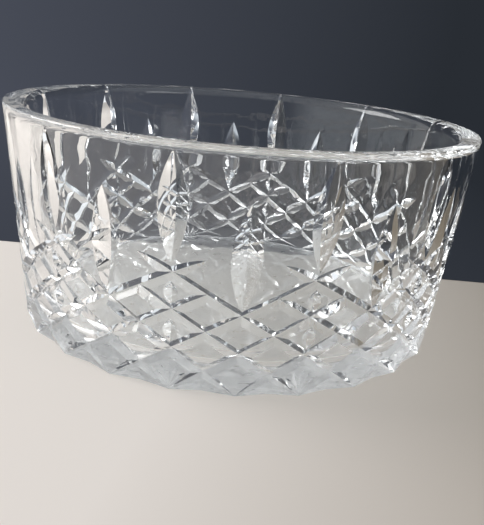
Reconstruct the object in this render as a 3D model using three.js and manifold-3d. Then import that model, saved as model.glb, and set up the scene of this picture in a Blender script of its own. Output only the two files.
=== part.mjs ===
// A heavy cut-crystal bowl. It is one piece of clear glass: a round blank with a straight, slightly
// flared wall, a polished rim that is rounded to the inside, and a flat foot, into which mitre-edged
// wheels have cut the pattern.
// Twelve tall wedge cuts hang from the rim and twelve low ones stand between them. Below their points
// a band of crossing grooves leaves rows of diamonds, every other column of them with a small olive
// cut, a fan of fine cuts stands on the foot, and shallow hollows scallop the heel.
import * as THREE from "three";
import { mergeVertices } from "three/addons/utils/BufferGeometryUtils.js";
import Module from "manifold-3d";

// Driving dimensions of the blank, in millimetres
const rimRadius = 115;
const footRadius = 104.5;
const bowlHeight = 103;
const rimWall = 10;
const floorWall = 11.5;
const floorThickness = 10;
const insideCornerRadius = 6;
const rimOuterRadius = 1.2;
const rimInnerRadius = 4.5;

// Driving dimensions of the cut pattern, in millimetres, and the fan's spread in degrees
const repeats = 12;
const wedgeWidth = 12.5;
const wedgeDepth = 3.2;
const plainBand = 2.4;
const tipGap = 4;
const lowWedgeDrop = 18;
const latticeRows = 3;
const topRowHeight = 15.9;
const rowGrowth = 1.3;
const grooveWidth = 5.6;
const grooveDepth = 2.6;
const oliveLength = 10;
const oliveWidth = 6;
const oliveDepth = 1.5;
const heelDepth = 2.6;
const fanFoot = 1;
const fanRays = 5;
const fanSpread = 84;
const fanLength = 12;
const rayWidth = 2.8;
const rayDepth = 1;

// How finely the round forms are faceted
const wallFacets = 96;
const cornerFacets = 4;
const outerEdgeFacets = 2;
const innerEdgeFacets = 4;
const wedgeSteps = 8;
const oliveSteps = 4;
const raySteps = 2;

// How far a cutter stands proud of the wall, how close two corners are that count as one, first and
// then again, and how far a corner may stand off a flat face and still be left out
const proud = 2;
const sameCorner = 0.02;
const nearCorner = 0.032;
const flatness = 0.01;

// Angles of the pattern, in radians: a tall cut stands on every repeat and a low one midway
const repeatAngle = (2 * Math.PI) / repeats;
const halfRepeat = repeatAngle / 2;
const facetAngle = (2 * Math.PI) / wallFacets;

// The slopes of the wall, as the radius gained for each millimetre of height
const outsideSlope = (rimRadius - footRadius) / bowlHeight;
const insideRimRadius = rimRadius - rimWall;
const insideFloorRadius = footRadius + outsideSlope * floorThickness - floorWall;
const insideSlope = (insideRimRadius - insideFloorRadius) / (bowlHeight - floorThickness);

const wasm = await Module();
wasm.setup();

// The solid that a closed geometry bounds, with corners closer than the tolerance made one.
function solidOf(geometry, tolerance = 1e-4) {
  const bare = geometry.clone();
  bare.deleteAttribute("normal");
  bare.deleteAttribute("uv");
  const merged = mergeVertices(bare, tolerance);
  const corners = [];
  for (let i = 0; i < merged.index.count; i += 3) {
    const [a, b, c] = merged.index.array.slice(i, i + 3);
    if (a !== b && b !== c && c !== a) corners.push(a, b, c);
  }
  return new wasm.Manifold(
    new wasm.Mesh({
      numProp: 3,
      vertProperties: merged.attributes.position.array,
      triVerts: new Uint32Array(corners),
    }),
  );
}

// The geometry of a finished solid.
function geometryOf(solid) {
  const mesh = solid.getMesh();
  const geometry = new THREE.BufferGeometry();
  geometry.setAttribute("position", new THREE.BufferAttribute(mesh.vertProperties, 3));
  geometry.setIndex(new THREE.BufferAttribute(mesh.triVerts, 1));
  geometry.computeVertexNormals();
  return geometry;
}

// A closed geometry lofted through rings of points, each ring listed anticlockwise as seen from the
// start, and closed by a fan at both ends.
function loft(rings) {
  const size = rings[0].length;
  const index = [];
  for (let i = 1; i < size - 1; i++) {
    const last = (rings.length - 1) * size;
    index.push(0, i, i + 1, last, last + i + 1, last + i);
  }
  for (let ring = 0; ring < rings.length - 1; ring++) {
    for (let i = 0; i < size; i++) {
      const a = ring * size + i;
      const b = ring * size + ((i + 1) % size);
      index.push(b, a, a + size, b, a + size, b + size);
    }
  }
  const geometry = new THREE.BufferGeometry().setFromPoints(rings.flat());
  geometry.setIndex(index);
  return geometry;
}

// The round blank before it is cut: outside wall, rim, inside wall and floor in one turned outline.
function blank() {
  const outsideLean = Math.atan(outsideSlope);
  const insideLean = Math.atan(insideSlope);
  const quarter = Math.PI / 2;
  const outerEdge = new THREE.Path().absarc(
    rimRadius - outsideSlope * rimOuterRadius - rimOuterRadius / Math.cos(outsideLean),
    bowlHeight - rimOuterRadius,
    rimOuterRadius,
    -outsideLean,
    quarter,
    false,
  );
  const innerEdge = new THREE.Path().absarc(
    insideRimRadius - insideSlope * rimInnerRadius + rimInnerRadius / Math.cos(insideLean),
    bowlHeight - rimInnerRadius,
    rimInnerRadius,
    quarter,
    2 * quarter - insideLean,
    false,
  );
  const corner = new THREE.Path().absarc(
    insideFloorRadius + insideSlope * insideCornerRadius - insideCornerRadius / Math.cos(insideLean),
    floorThickness + insideCornerRadius,
    insideCornerRadius,
    -insideLean,
    -quarter,
    true,
  );
  const outline = [
    new THREE.Vector2(0, 0),
    new THREE.Vector2(footRadius, 0),
    ...outerEdge.getPoints(outerEdgeFacets / 2),
    ...innerEdge.getPoints(innerEdgeFacets / 2),
    ...corner.getPoints(cornerFacets / 2),
    new THREE.Vector2(0, floorThickness),
  ];
  return solidOf(new THREE.LatheGeometry(outline, wallFacets).rotateX(quarter));
}

// The point of the outside wall at an angle and a height, and the wall's directions there: straight
// out of the glass, up the slope and level round the bowl.
function wallAt(angle, height) {
  const lean = Math.atan(outsideSlope);
  const radius = footRadius + outsideSlope * height;
  const outward = new THREE.Vector3(Math.cos(angle), Math.sin(angle), 0);
  return {
    point: outward.clone().multiplyScalar(radius).setZ(height),
    normal: outward.clone().multiplyScalar(Math.cos(lean)).setZ(-Math.sin(lean)),
    up: outward.clone().multiplyScalar(Math.sin(lean)).setZ(Math.cos(lean)),
    level: new THREE.Vector3(-Math.sin(angle), Math.cos(angle), 0),
  };
}

// One stroke of a mitre-edged wheel. Each station gives the angle and height of the wall and how deep
// the wheel's edge is there; the wheel's flanks open to the given width at the given depth. Its V
// sections lie in the plane of the wall's normal and the named direction of the wall.
function stroke(stations, width, depth, direction) {
  const spread = width / 2 / depth;
  const walls = stations.map((station) => wallAt(station.angle, station.height));
  const rings = stations.map((station, i) => {
    const before = walls[Math.max(i - 1, 0)].point;
    const after = walls[Math.min(i + 1, walls.length - 1)].point;
    const { point, normal, [direction]: side } = walls[i];
    const squarely = after.clone().sub(before).cross(normal).normalize();
    const reach = station.depth + proud;
    const aside = (reach * spread) / side.dot(squarely);
    const edge = point.clone().addScaledVector(normal, -station.depth);
    const shoulder = edge.clone().addScaledVector(normal, reach);
    return [
      edge,
      shoulder.clone().addScaledVector(side, aside),
      shoulder.clone().addScaledVector(side, -aside),
    ];
  });
  return solidOf(loft(rings));
}

// A straight cut pointed at both ends, as a wheel leaves it that dips into the wall and out again.
// It runs between two places on the wall, each an angle and a height.
function dippedCut(from, to, width, depth, steps) {
  const stations = [];
  for (let i = 0; i <= steps; i++) {
    const share = i / steps;
    const fromMiddle = 2 * share - 1;
    stations.push({
      angle: THREE.MathUtils.lerp(from.angle, to.angle, share),
      height: THREE.MathUtils.lerp(from.height, to.height, share),
      depth: depth * (1 - fromMiddle ** 2),
    });
  }
  return stroke(stations, width, depth, "level");
}

// The height of the lattice's crossings, counted in rows from the top ones. The rows grow a little
// towards the foot, where the last crossings lie.
const latticeHeight = rowsHeight(latticeRows);
function rowsHeight(rows) {
  return rows * topRowHeight + (rowGrowth * rows * (rows - 1)) / 2;
}
function crossingHeight(rows) {
  return latticeHeight - rowsHeight(rows);
}

// The tall wedge cuts under the rim, and the same cut set lower midway between them.
function wedgeCuts() {
  const cuts = [];
  for (let i = 0; i < 2 * repeats; i++) {
    const angle = i * halfRepeat;
    const drop = (i % 2) * lowWedgeDrop;
    cuts.push(
      dippedCut(
        { angle, height: bowlHeight - plainBand - drop },
        { angle, height: latticeHeight + tipGap - drop },
        wedgeWidth,
        wedgeDepth,
        wedgeSteps,
      ),
    );
  }
  return cuts;
}

// The crossing grooves. They run down to both hands, one through every crossing under a tall cut, from
// half a row above it, and one from midway along each stretch of the lattice's zigzag upper edge. They
// run out over half a row, but the later ones start at full depth, in the valley of an earlier one.
function latticeGrooves() {
  const half = 0.5;
  const ease = (rows) => 1 - Math.max(1 - rows / half, 0) ** 2;
  const grooves = [];
  for (let i = 0; i < repeats; i++) {
    for (const hand of [-1, 1]) {
      for (const late of [0, 1]) {
        const first = late - half;
        const run = latticeRows - first;
        const steps = Math.round((run * halfRepeat) / facetAngle);
        const stations = [];
        for (let step = 0; step <= steps; step++) {
          const gone = (step / steps) * run;
          const entering = late ? 1 : ease(gone);
          stations.push({
            angle: i * repeatAngle + hand * (first + gone - late) * halfRepeat,
            height: crossingHeight(first + gone),
            depth: grooveDepth * Math.min(entering, ease(run - gone)),
          });
        }
        grooves.push(stroke(stations, grooveWidth, grooveDepth, "up"));
      }
    }
  }
  return grooves;
}

// The small upright olive cuts in the diamonds below the tall cuts, all but the lowest.
function oliveCuts() {
  const cuts = [];
  for (let i = 0; i < repeats; i++) {
    const angle = i * repeatAngle;
    for (let row = 0; row < latticeRows - 1; row++) {
      const middle = crossingHeight(row + 0.5);
      cuts.push(
        dippedCut(
          { angle, height: middle + oliveLength / 2 },
          { angle, height: middle - oliveLength / 2 },
          oliveWidth,
          oliveDepth,
          oliveSteps,
        ),
      );
    }
  }
  return cuts;
}

// The fans of fine cuts that spread upwards from the foot in the lowest of those diamonds.
function fanCuts() {
  const cuts = [];
  for (let i = 0; i < repeats; i++) {
    for (let ray = 0; ray < fanRays; ray++) {
      const lean = THREE.MathUtils.degToRad(fanSpread * (ray / (fanRays - 1) - 0.5));
      const aside = (fanLength * Math.sin(lean)) / footRadius;
      const from = { angle: i * repeatAngle, height: fanFoot };
      const to = {
        angle: i * repeatAngle + aside,
        height: fanFoot + fanLength * Math.cos(lean),
      };
      cuts.push(dippedCut(from, to, rayWidth, rayDepth, raySteps));
    }
  }
  return cuts;
}

// The shallow mitred hollows that scallop the heel, each between two points of the foot. A hollow is
// as wide as the foot between them at the bottom, and slants out to nothing at the crossing above.
function heelCuts() {
  const top = crossingHeight(latticeRows - 0.5);
  const halfSpan = halfRepeat / 2;
  const bow = footRadius * (1 - Math.cos(halfSpan));
  const width = 2 * footRadius * Math.sin(halfSpan);
  const cuts = [];
  for (let i = 0; i < 2 * repeats; i++) {
    const angle = i * halfRepeat + halfSpan;
    const stations = [-proud, top].map((height) => ({
      angle,
      height,
      depth: heelDepth * (1 - height / top),
    }));
    cuts.push(stroke(stations, width, heelDepth - bow, "level"));
  }
  return cuts;
}

const cutters = [...wedgeCuts(), ...latticeGrooves(), ...oliveCuts(), ...fanCuts(), ...heelCuts()];
const cutBlank = blank().subtract(wasm.Manifold.union(cutters));

// Where cuts cross they leave corners closer together than any wheel could, so those are made one.
const welded = [sameCorner, nearCorner].reduce(
  (solid, tolerance) => solidOf(geometryOf(solid), tolerance),
  cutBlank,
);

const crystal = new THREE.MeshStandardMaterial({ color: "#e9eff0", roughness: 0.04, metalness: 0 });
const bowl = new THREE.Mesh(geometryOf(welded.simplify(flatness)), crystal);
bowl.name = "bowl";

const cutCrystalBowl = new THREE.Group();
cutCrystalBowl.add(bowl);

export default cutCrystalBowl;
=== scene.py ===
# A heavy cut-crystal bowl: one turned blank of clear glass, cut with mitre-edged wheels into tall and
# low wedges, a lattice of crossing grooves, olives, fans at the foot and hollows at the heel.
import math

import bmesh
import bpy
from mathutils import Matrix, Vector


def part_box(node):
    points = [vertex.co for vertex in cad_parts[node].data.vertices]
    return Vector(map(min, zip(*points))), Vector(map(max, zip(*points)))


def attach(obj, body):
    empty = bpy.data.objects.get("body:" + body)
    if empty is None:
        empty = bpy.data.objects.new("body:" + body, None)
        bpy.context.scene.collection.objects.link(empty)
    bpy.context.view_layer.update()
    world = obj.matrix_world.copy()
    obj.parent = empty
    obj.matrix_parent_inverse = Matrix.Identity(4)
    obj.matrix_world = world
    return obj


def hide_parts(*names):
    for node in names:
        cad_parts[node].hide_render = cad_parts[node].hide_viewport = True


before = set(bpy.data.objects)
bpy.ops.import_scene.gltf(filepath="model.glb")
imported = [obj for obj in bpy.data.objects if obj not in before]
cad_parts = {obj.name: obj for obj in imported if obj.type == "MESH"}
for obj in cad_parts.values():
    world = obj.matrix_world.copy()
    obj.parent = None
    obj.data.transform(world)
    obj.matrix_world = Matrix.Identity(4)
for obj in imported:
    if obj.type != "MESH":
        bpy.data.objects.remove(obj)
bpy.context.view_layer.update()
bpy.ops.object.select_all(action="DESELECT")

# The blank. The real one is a thick gather of lead crystal formed into a straight-sided bowl, with its
# foot ground flat and its rim polished round to the inside. Here it is a cylinder, widened to the rim,
# hollowed by an inset and an extrusion, and rounded at the rim's edges and in the corner inside.
mm = 0.001
bowl_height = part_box("bowl")[1].z
rim_radius = 115 * mm
foot_radius = 104.5 * mm
rim_wall = 10 * mm
floor_wall = 11.5 * mm
floor_thickness = 10 * mm
inside_corner_radius = 6 * mm
rim_outer_radius = 1.2 * mm
rim_inner_radius = 4.5 * mm
wall_facets = 288
wall_rings = 26
wall_slope = (rim_radius - foot_radius) / bowl_height
wall_lean = math.atan(wall_slope)

bpy.ops.mesh.primitive_cylinder_add(
    vertices=wall_facets, radius=foot_radius, depth=bowl_height, location=(0, 0, bowl_height / 2)
)
bowl = bpy.context.object
bowl.name = "cut_crystal_bowl"
bowl.rotation_euler.z = math.pi / wall_facets
bpy.ops.object.transform_apply(location=True, rotation=True)
bpy.ops.object.mode_set(mode="EDIT")
bpy.ops.mesh.select_mode(type="FACE")
bpy.ops.mesh.select_all(action="DESELECT")
mesh = bmesh.from_edit_mesh(bowl.data)
for face in mesh.faces:
    face.select = face.normal.z > 0.9
bmesh.update_edit_mesh(bowl.data)
widen = rim_radius / foot_radius
bpy.ops.transform.resize(value=(widen, widen, 1), center_override=(0, 0, bowl_height))
bpy.ops.mesh.inset(thickness=rim_wall)
bpy.ops.mesh.extrude_region_move(
    TRANSFORM_OT_translate={"value": (0, 0, floor_thickness - bowl_height)}
)
inside_floor_radius = foot_radius + wall_slope * floor_thickness - floor_wall
draw_in = inside_floor_radius / (rim_radius - rim_wall)
bpy.ops.transform.resize(value=(draw_in, draw_in, 1), center_override=(0, 0, floor_thickness))


def round_ring(at_height, at_radius, radius, segments):
    """Rounds the ring of edges that lies at a height and at a distance from the axis."""
    close = 0.1 * mm
    bpy.ops.mesh.select_mode(type="EDGE")
    bpy.ops.mesh.select_all(action="DESELECT")
    blank = bmesh.from_edit_mesh(bowl.data)
    for edge in blank.edges:
        edge.select = all(
            abs(v.co.z - at_height) < close and abs(v.co.xy.length - at_radius) < close
            for v in edge.verts
        )
    bmesh.update_edit_mesh(bowl.data)
    bpy.ops.mesh.bevel(offset=radius, segments=segments, profile=0.5, affect="EDGES")


round_ring(floor_thickness, inside_floor_radius, inside_corner_radius, segments=8)
round_ring(bowl_height, rim_radius, rim_outer_radius, segments=4)
round_ring(bowl_height, rim_radius - rim_wall, rim_inner_radius, segments=10)
for ring in range(1, wall_rings):
    bpy.ops.mesh.select_all(action="SELECT")
    bpy.ops.mesh.bisect(plane_co=(0, 0, ring / wall_rings * bowl_height), plane_no=(0, 0, 1))
bpy.ops.object.mode_set(mode="OBJECT")

# The wedges and the fans. A big wheel with a mitred edge is dipped into the wall and out again, so that
# each cut is a V that swells from a point and dies in a point. Twelve tall wedges hang below the rim,
# twelve more stand midway and lower, and fans of five small cuts spread upwards from the foot.
repeats = 12
half_repeat = math.pi / repeats
lattice_rows = 3
top_row_height = 15.9 * mm
row_growth = 1.3 * mm
plain_band = 2.4 * mm
tip_gap = 4 * mm
wedge_width = 12.5 * mm
wedge_depth = 4.6 * mm
low_wedge_drop = 18 * mm
fan_foot = 1 * mm
fan_rays = 5
fan_spread = math.radians(84)
fan_length = 12 * mm
ray_width = 2.8 * mm
ray_depth = 1 * mm
# How far a tool stands out of the wall, so that it cuts clean through the surface.
proud = 2 * mm


def rows_height(rows):
    """How tall a number of the lattice's rows is, from its top crossings down. Rows grow downwards."""
    return rows * top_row_height + row_growth * rows * (rows - 1) / 2


def wall_place(angle, height):
    """The frame of the outside wall at an angle and a height: X level, Y up the slope, Z out."""
    radius = foot_radius + wall_slope * height
    outward = Matrix.Rotation(angle, 4, "Z") @ Matrix.Translation((radius, 0, height))
    face_out = Matrix.Rotation(math.pi / 2 + wall_lean, 4, "Y") @ Matrix.Rotation(math.pi / 2, 4, "Z")
    return outward @ face_out


def new_wheel(length, width, depth, facets):
    """A mitre-edged wheel that leaves a cut of this length, width and depth, lying in the plane X = 0
    with its cut along Y and the glass below Z = 0."""
    close = 0.001 * mm
    radius = (length**2 / 4 + depth**2) / (2 * depth)
    flank = depth + 2 * proud
    thickness = flank * width / (2 * depth)
    side = (radius - flank) / radius
    bpy.ops.mesh.primitive_circle_add(vertices=facets, radius=radius, fill_type="NGON")
    wheel = bpy.context.object
    bpy.ops.object.mode_set(mode="EDIT")
    bpy.ops.mesh.select_all(action="SELECT")
    bpy.ops.mesh.extrude_region_move(TRANSFORM_OT_translate={"value": (0, 0, thickness)})
    bpy.ops.transform.resize(value=(side, side, 1), center_override=(0, 0, thickness))
    bpy.ops.mesh.select_mode(type="FACE")
    bpy.ops.mesh.select_all(action="DESELECT")
    half = bmesh.from_edit_mesh(wheel.data)
    for face in half.faces:
        face.select = all(abs(v.co.z) < close for v in face.verts)
    bmesh.update_edit_mesh(wheel.data)
    bpy.ops.mesh.extrude_region_move(TRANSFORM_OT_translate={"value": (0, 0, -thickness)})
    bpy.ops.transform.resize(value=(side, side, 1), center_override=(0, 0, -thickness))
    bpy.ops.mesh.select_all(action="SELECT")
    bpy.ops.mesh.normals_make_consistent(inside=False)
    bpy.ops.object.mode_set(mode="OBJECT")
    standing = Matrix.Translation((0, 0, radius - depth)) @ Matrix.Rotation(math.pi / 2, 4, "Y")
    wheel.data.transform(standing)
    return wheel


def stamp(tool, places):
    """Copies a tool's mesh to each of the places, as one object."""
    copies = []
    for place in places:
        copy = bpy.data.objects.new("tool", tool.data.copy())
        bpy.context.collection.objects.link(copy)
        copy.data.transform(place)
        copies.append(copy)
    bpy.data.objects.remove(tool)
    bpy.ops.object.select_all(action="DESELECT")
    for copy in copies:
        copy.select_set(True)
    bpy.context.view_layer.objects.active = copies[0]
    bpy.ops.object.join()
    return copies[0]


def cut(tools):
    """Takes the tools' shapes out of the glass."""
    bpy.ops.object.select_all(action="DESELECT")
    bpy.context.view_layer.objects.active = bowl
    bowl.select_set(True)
    cutting = bowl.modifiers.new("cut", "BOOLEAN")
    cutting.operation = "DIFFERENCE"
    cutting.solver = "MANIFOLD"
    cutting.object = tools
    bpy.ops.object.modifier_apply(modifier="cut")
    bpy.data.objects.remove(tools)


lattice_height = rows_height(lattice_rows)
wedge_top = bowl_height - plain_band
wedge_bottom = lattice_height + tip_gap
wedge_places = [
    wall_place(i * half_repeat, (wedge_top + wedge_bottom) / 2 - (i % 2) * low_wedge_drop)
    for i in range(2 * repeats)
]
wedge_length = (wedge_top - wedge_bottom) / math.cos(wall_lean)
wedge_wheel = new_wheel(wedge_length, wedge_width, wedge_depth, facets=240)
cut(stamp(wedge_wheel, wedge_places))

for ray in range(fan_rays):
    lean = fan_spread * (ray / (fan_rays - 1) - 0.5)
    turned = Matrix.Rotation(lean, 4, "Z") @ Matrix.Translation((0, fan_length / 2, 0))
    ray_places = [wall_place(2 * i * half_repeat, fan_foot) @ turned for i in range(repeats)]
    cut(stamp(new_wheel(fan_length, ray_width, ray_depth, facets=96), ray_places))

# The lattice and the heel. Grooves slant down to both hands from under the wedges and cross in three
# rows of diamonds; they are cut in one pull of the wheel, so their depth is even and eases out at the
# ends. Wide shallow hollows then scallop the heel between the lowest crossings.
groove_width = 5.6 * mm
groove_depth = 2.3 * mm
groove_step = math.radians(1.25)
run_out_rows = 0.5
hollow_rows = 0.5
heel_depth = 2.6 * mm
# The wall's level and upward directions, as columns of its frame.
LEVEL, UPWARD = 0, 1


def new_stroke(stations, width, depth, section_axis):
    """A mitre wheel's path along the wall. Each station is an angle, a height and how deep the wheel
    is there; the V sections lie in the wall's outward direction and its level or upward one."""
    spread = width / 2 / depth
    bpy.ops.mesh.primitive_circle_add(vertices=3, radius=depth, fill_type="NGON")
    path = bpy.context.object
    # The corners are numbered, and each extrusion hands the numbers on.
    path.data.attributes.new("corner", "INT", "POINT").data.foreach_set("value", (0, 1, 2))
    bpy.ops.object.mode_set(mode="EDIT")
    for i, (angle, height, deep) in enumerate(stations):
        if i:
            bpy.ops.mesh.extrude_region_move()
        place = wall_place(angle, height)
        before = wall_place(*stations[max(i - 1, 0)][:2]).translation
        after = wall_place(*stations[min(i + 1, len(stations) - 1)][:2]).translation
        normal = place.col[2].xyz
        side = place.col[section_axis].xyz
        squarely = (after - before).cross(normal).normalized()
        reach = deep + proud
        aside = reach * spread / side.dot(squarely)
        valley = place.translation - normal * deep
        brim = valley + normal * reach
        corners = [valley, brim + side * aside, brim - side * aside]
        section = bmesh.from_edit_mesh(path.data)
        for vertex in section.verts:
            if vertex.select:
                vertex.co = corners[vertex[section.verts.layers.int["corner"]]]
        section.normal_update()
        bmesh.update_edit_mesh(path.data)
    bpy.ops.mesh.select_all(action="SELECT")
    bpy.ops.mesh.normals_make_consistent(inside=False)
    bpy.ops.object.mode_set(mode="OBJECT")
    return path


def eased(rows):
    """The share of the full depth at this many rows from a groove's end."""
    return 1 - max(1 - rows / run_out_rows, 0) ** 2


turns = [Matrix.Rotation(2 * i * half_repeat, 4, "Z") for i in range(repeats)]
for hand in (-1, 1):
    for late in (0, 1):
        first_row = late - run_out_rows
        run = lattice_rows - first_row
        steps = round(run * half_repeat / groove_step)
        stations = []
        for step in range(steps + 1):
            gone = step / steps * run
            entering = 1 if late else eased(gone)
            angle = hand * (first_row + gone - late) * half_repeat
            height = lattice_height - rows_height(first_row + gone)
            stations.append((angle, height, groove_depth * min(entering, eased(run - gone))))
        cut(stamp(new_stroke(stations, groove_width, groove_depth, UPWARD), turns))

hollow_top = lattice_height - rows_height(lattice_rows - hollow_rows)
hollow_span = half_repeat / 2
hollow_width = 2 * foot_radius * math.sin(hollow_span)
hollow_bow = foot_radius * (1 - math.cos(hollow_span))
hollow_stations = [
    (hollow_span, height, heel_depth * (1 - height / hollow_top)) for height in (-proud, hollow_top)
]
half_turns = [Matrix.Rotation(i * half_repeat, 4, "Z") for i in range(2 * repeats)]
cut(stamp(new_stroke(hollow_stations, hollow_width, heel_depth - hollow_bow, LEVEL), half_turns))

# The olives. A small upright thumbprint is cut into every diamond below a tall wedge but the lowest,
# and then the whole bowl is polished, which leaves every cut with bright flats and crisp edges.
olive_length = 10 * mm
olive_width = 6 * mm
olive_depth = 2.1 * mm
olive_places = [
    wall_place(2 * i * half_repeat, lattice_height - rows_height(row + 0.5))
    for i in range(repeats)
    for row in range(lattice_rows - 1)
]
cut(stamp(new_wheel(olive_length, olive_width, olive_depth, facets=96), olive_places))

# Where cuts meet, a flap can be left: two faces back to back, with no glass between them. Such a face
# shares all of its edges with one other.
mesh = bmesh.new()
mesh.from_mesh(bowl.data)
flaps = []
for face in mesh.faces:
    sharers = {near for edge in face.edges for near in edge.link_faces}
    if len(sharers) == 2:
        flaps.append(face)
bmesh.ops.delete(mesh, geom=flaps, context="FACES")
mesh.to_mesh(bowl.data)
mesh.free()
crisp_edge_angle = math.radians(12)
bpy.ops.object.shade_smooth_by_angle(angle=crisp_edge_angle)


def linear(code):
    """The linear colour of an sRGB hex value, as Blender's sockets want it."""
    parts = [int(code[i : i + 2], 16) / 255 for i in (1, 3, 5)]
    return [c / 12.92 if c <= 0.04045 else ((c + 0.055) / 1.055) ** 2.4 for c in parts] + [1]


def add(tree, kind, settings=(), links=()):
    """Adds a node of a kind with its settings, and links outputs of other nodes to its inputs."""
    node = tree.nodes.new("ShaderNode" + kind)
    for name, value in dict(settings).items():
        if isinstance(name, int) or name in node.inputs:
            node.inputs[name].default_value = value
        else:
            setattr(node, name, value)
    for socket, source in dict(links).items():
        tree.links.new(source, node.inputs[socket])
    return node


# The material is lead crystal, cut on wheels and then polished. It is colourless and glossy, and its
# flats show bright or dark from cut to cut, with slow swells that the wheel left. Only the foot stays
# as it was ground and is worn in patches, which gives the floor a soft frost from above.
crystal_ior = 1.54
swell_size = 11.1111 * mm
swell_height = 0.08 * mm
patch_size = 6.25 * mm
# The noise that makes the patches keeps mostly between these two.
patch_low = 0.3
patch_high = 0.7
worn_roughness = 0.25
ground_roughness = 0.6
# Whatever lies below this height is the foot's own face.
foot_skin = 0.05 * mm
crystal = bpy.data.materials.new("polished_lead_crystal")
crystal.use_nodes = True
tree = crystal.node_tree
glass = tree.nodes["Principled BSDF"]
glass.inputs["Base Color"].default_value = linear("#fdfefe")
glass.inputs["IOR"].default_value = crystal_ior
glass.inputs["Transmission Weight"].default_value = 1
place = add(tree, "TexCoord")
split = add(tree, "SeparateXYZ", links={"Vector": place.outputs["Object"]})
underside = add(tree, "Math", {"operation": "LESS_THAN", 1: foot_skin}, {0: split.outputs["Z"]})
patches = add(
    tree, "TexNoise", {"Scale": 1 / patch_size, "Detail": 1}, {"Vector": place.outputs["Object"]}
)
worn = add(
    tree,
    "MapRange",
    {
        "From Min": patch_low,
        "From Max": patch_high,
        "To Min": worn_roughness,
        "To Max": ground_roughness,
    },
    {"Value": patches.outputs["Fac"]},
)
grain = add(
    tree, "Math", {"operation": "MULTIPLY"}, {0: underside.outputs["Value"], 1: worn.outputs["Result"]}
)
tree.links.new(grain.outputs["Value"], glass.inputs["Roughness"])
swells = add(
    tree, "TexNoise", {"Scale": 1 / swell_size, "Detail": 1}, {"Vector": place.outputs["Object"]}
)
rippled = add(tree, "Bump", {"Strength": 1, "Distance": swell_height}, {"Height": swells.outputs["Fac"]})
tree.links.new(rippled.outputs["Normal"], glass.inputs["Normal"])

# Light on its way to the counter goes straight through the glass and is dimmed a little, because such
# clear glass throws only a faint shadow.
rays = add(tree, "LightPath")
through = add(tree, "BsdfTransparent", {"Color": linear("#fbfcfc")})
dimmed = add(tree, "BsdfTransparent", {"Color": linear("#f1f2f2")})
for_floor = add(
    tree,
    "MixShader",
    links={0: rays.outputs["Is Diffuse Ray"], 1: glass.outputs["BSDF"], 2: through.outputs["BSDF"]},
)
for_lamps = add(
    tree,
    "MixShader",
    links={0: rays.outputs["Is Shadow Ray"], 1: for_floor.outputs["Shader"], 2: dimmed.outputs["BSDF"]},
)
tree.links.new(for_lamps.outputs["Shader"], tree.nodes["Material Output"].inputs["Surface"])
bowl.data.materials.clear()
bowl.data.materials.append(crystal)
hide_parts("bowl")
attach(bowl, "root")

# The counter that the bowl stands on. It is a plain painted board, not part of the bowl, and it lies
# a hair below the foot. Its sizes are in metres.
floor_size = 6
floor_drop = 0.4 * mm
# Where the painted shade to the right begins and where it is full, in metres along X.
painted_shade_start = 0
painted_shade_end = 0.25
bpy.ops.mesh.primitive_plane_add(size=floor_size, location=(0, 0, -floor_drop))
floor = bpy.context.object
floor.name = "counter"

# The paint is rolled on and matt, so it takes a soft shadow and hardly mirrors the bowl. It is pale and
# warm, and to the right, away from the window, its colour deepens as painted shade, which stands in for
# the window's light falling off and for the bowl's shadow on that side.
counter = bpy.data.materials.new("matt_counter_with_painted_shade")
counter.use_nodes = True
tree = counter.node_tree
paint = tree.nodes["Principled BSDF"]
paint.inputs["Roughness"].default_value = 0.8
paint.inputs["Specular IOR Level"].default_value = 0.2
place = add(tree, "TexCoord")
split = add(tree, "SeparateXYZ", links={"Vector": place.outputs["Object"]})
into_painted_shade = add(
    tree, "MapRange", {"From Min": painted_shade_start, "From Max": painted_shade_end}, {"Value": split.outputs["X"]}
)
paint_and_painted_shade = add(tree, "Mix", {"data_type": "RGBA"}, {"Factor": into_painted_shade.outputs["Result"]})
paint_and_painted_shade.inputs["A"].default_value = linear("#ece4dc")
paint_and_painted_shade.inputs["B"].default_value = linear("#8c806e")
tree.links.new(paint_and_painted_shade.outputs["Result"], paint.inputs["Base Color"])
floor.data.materials.append(counter)

# The dark sheet. It is a heavy cloth that begins behind the middle of the bowl, lies flat, and curves
# up to hang from far above. It is turned with the camera, and isn't part of the bowl either. Its
# sizes are in metres.
heading = math.radians(11.03)
sheet_left = -0.5
sheet_taper = 0.3
sheet_right = 1.4
sheet_start = 0.074
sheet_turn = 0.8
sheet_curve = 0.2
wall_rise = 1.2
# Where the cloth's painted light is lightest, by the window, and where it is darkest, in metres across.
painted_window_side = -0.4
painted_shade_side = 0.25
bpy.ops.mesh.primitive_plane_add(size=1, location=(0, 0, 0))
sheet = bpy.context.object
sheet.name = "dark_sheet"
sheet.scale = (sheet_right - sheet_left, sheet_turn - sheet_start, 1)
sheet.location = ((sheet_right + sheet_left) / 2, (sheet_turn + sheet_start) / 2, -floor_drop / 2)
bpy.ops.object.transform_apply(location=True, scale=True)
bpy.ops.object.mode_set(mode="EDIT")
bpy.ops.mesh.select_mode(type="VERT")
bpy.ops.mesh.select_all(action="DESELECT")
cloth = bmesh.from_edit_mesh(sheet.data)
for vertex in cloth.verts:
    vertex.select = vertex.co.x < 0 and vertex.co.y < sheet_turn - mm
bpy.ops.transform.translate(value=(sheet_taper, 0, 0))
bpy.ops.mesh.select_mode(type="EDGE")
bpy.ops.mesh.select_all(action="DESELECT")
cloth = bmesh.from_edit_mesh(sheet.data)
for edge in cloth.edges:
    edge.select = all(v.co.y > sheet_turn - mm for v in edge.verts)
bmesh.update_edit_mesh(sheet.data)
bpy.ops.mesh.spin(
    steps=10, angle=math.pi / 2, center=(0, sheet_turn, sheet_curve - floor_drop / 2), axis=(1, 0, 0)
)
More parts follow.
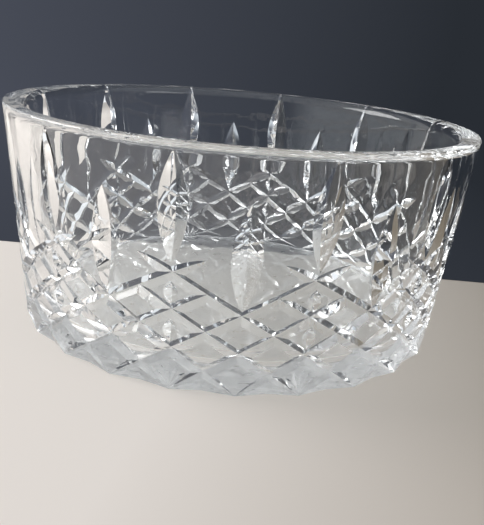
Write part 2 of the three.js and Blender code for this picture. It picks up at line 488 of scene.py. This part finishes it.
bpy.ops.mesh.extrude_region_move(TRANSFORM_OT_translate={"value": (0, 0, wall_rise)})
bpy.ops.mesh.select_all(action="SELECT")
bpy.ops.mesh.normals_make_consistent(inside=False)
bpy.ops.object.mode_set(mode="OBJECT")
sheet.data.transform(Matrix.Rotation(heading, 4, "Z"))

# The cloth has a short dense nap that swallows light. The studio does not light it: it glows with a
# faint painted light of its own, so it stays even. That light is painted lighter, slate, on the window's
# side, as if the window lit it, and nearly black on the other.
dark = bpy.data.materials.new("dark_cloth_with_painted_light")
dark.use_nodes = True
tree = dark.node_tree
place = add(tree, "TexCoord")
turn = add(tree, "Mapping", {"Rotation": (0, 0, -heading)}, {"Vector": place.outputs["Object"]})
split = add(tree, "SeparateXYZ", links={"Vector": turn.outputs["Vector"]})
across = add(
    tree, "MapRange", {"From Min": painted_window_side, "From Max": painted_shade_side}, {"Value": split.outputs["X"]}
)
cloth_and_painted_light = add(tree, "Mix", {"data_type": "RGBA"}, {"Factor": across.outputs["Result"]})
cloth_and_painted_light.inputs["A"].default_value = linear("#4a4e59")
cloth_and_painted_light.inputs["B"].default_value = linear("#292d33")
painted_glow = add(tree, "Emission", links={"Color": cloth_and_painted_light.outputs["Result"]})
tree.links.new(painted_glow.outputs["Emission"], tree.nodes["Material Output"].inputs["Surface"])
sheet.data.materials.append(dark)

# The studio: soft even light from all round, a window to the left, and a smaller fill from the right.
# What shows in the glass is darker near the horizon and bright overhead, as in a room. The world's
# heights and sides are those of a ray's direction, from -1 to 1.
walls_end = 0.3
ceiling_start = 0.6
window_edge = -0.2
window_middle = -0.6
world = bpy.data.worlds.new("studio")
bpy.context.scene.world = world
world.use_nodes = True
tree = world.node_tree

# Rays that look at the studio, straight or by way of the glass, see the room. The others bring an
# even grey light.
rays = add(tree, "LightPath")
glossy_too = add(
    tree,
    "Math",
    {"operation": "MAXIMUM"},
    {0: rays.outputs["Is Camera Ray"], 1: rays.outputs["Is Glossy Ray"]},
)
seen = add(
    tree,
    "Math",
    {"operation": "MAXIMUM"},
    {0: glossy_too.outputs["Value"], 1: rays.outputs["Is Transmission Ray"]},
)
looking = add(tree, "TexCoord")
split = add(tree, "SeparateXYZ", links={"Vector": looking.outputs["Generated"]})
ramp = add(tree, "ValToRGB", links={"Fac": split.outputs["Z"]})
walls, ceiling = ramp.color_ramp.elements
walls.position = walls_end
walls.color = linear("#5d616b")
ceiling.position = ceiling_start
ceiling.color = linear("#c6ced6")
leftward = add(
    tree,
    "MapRange",
    {"interpolation_type": "SMOOTHSTEP", "From Min": window_edge, "From Max": window_middle},
    {"Value": split.outputs["X"]},
)
room = add(tree, "Mix", {"data_type": "RGBA"}, {"Factor": leftward.outputs["Result"]})
room.inputs["B"].default_value = linear("#f6faff")
tree.links.new(ramp.outputs["Color"], room.inputs["A"])
sky = add(tree, "Mix", {"data_type": "RGBA"}, {"Factor": seen.outputs["Value"]})
sky.inputs["A"].default_value = linear("#c4c6c9")
tree.links.new(room.outputs["Result"], sky.inputs["B"])
tree.links.new(sky.outputs["Result"], tree.nodes["Background"].inputs["Color"])


def softbox(name, place, size, power):
    """A rectangular lamp that faces the bowl."""
    lamp = bpy.data.lights.new(name, "AREA")
    lamp.shape = "RECTANGLE"
    lamp.size, lamp.size_y = size
    lamp.energy = power
    holder = bpy.data.objects.new(name, lamp)
    holder.location = place
    holder.rotation_euler = (-holder.location).to_track_quat("-Z", "Y").to_euler()
    bpy.context.collection.objects.link(holder)


softbox("window_light", (-1.2, -0.1, 0.8), (0.7, 1.0), 15)
softbox("right_fill", (1.0, -0.4, 0.8), (0.5, 0.5), 1.5)

# The camera stands in front and looks down into the bowl, a little tilted, as in the photograph.
camera_place = (0.07669, -0.3636, 0.14501)
camera_pitch = math.radians(90 - 18.12)
camera_tilt = math.radians(5)
camera_data = bpy.data.cameras.new("camera")
camera_data.lens = 50.3
camera_data.clip_start = 0.01
camera = bpy.data.objects.new("camera", camera_data)
bpy.context.collection.objects.link(camera)
camera.matrix_world = (
    Matrix.Translation(camera_place)
    @ Matrix.Rotation(heading, 4, "Z")
    @ Matrix.Rotation(camera_pitch, 4, "X")
    @ Matrix.Rotation(camera_tilt, 4, "Z")
)
bpy.context.scene.camera = camera

# Light crosses a dozen faces of the cut wall and more, so paths are let run on.
cycles = bpy.context.scene.cycles
cycles.max_bounces = 32
cycles.transmission_bounces = 32
cycles.glossy_bounces = 16
cycles.transparent_max_bounces = 32
cycles.caustics_reflective = False
cycles.caustics_refractive = False
bpy.context.scene.view_settings.view_transform = "Standard"
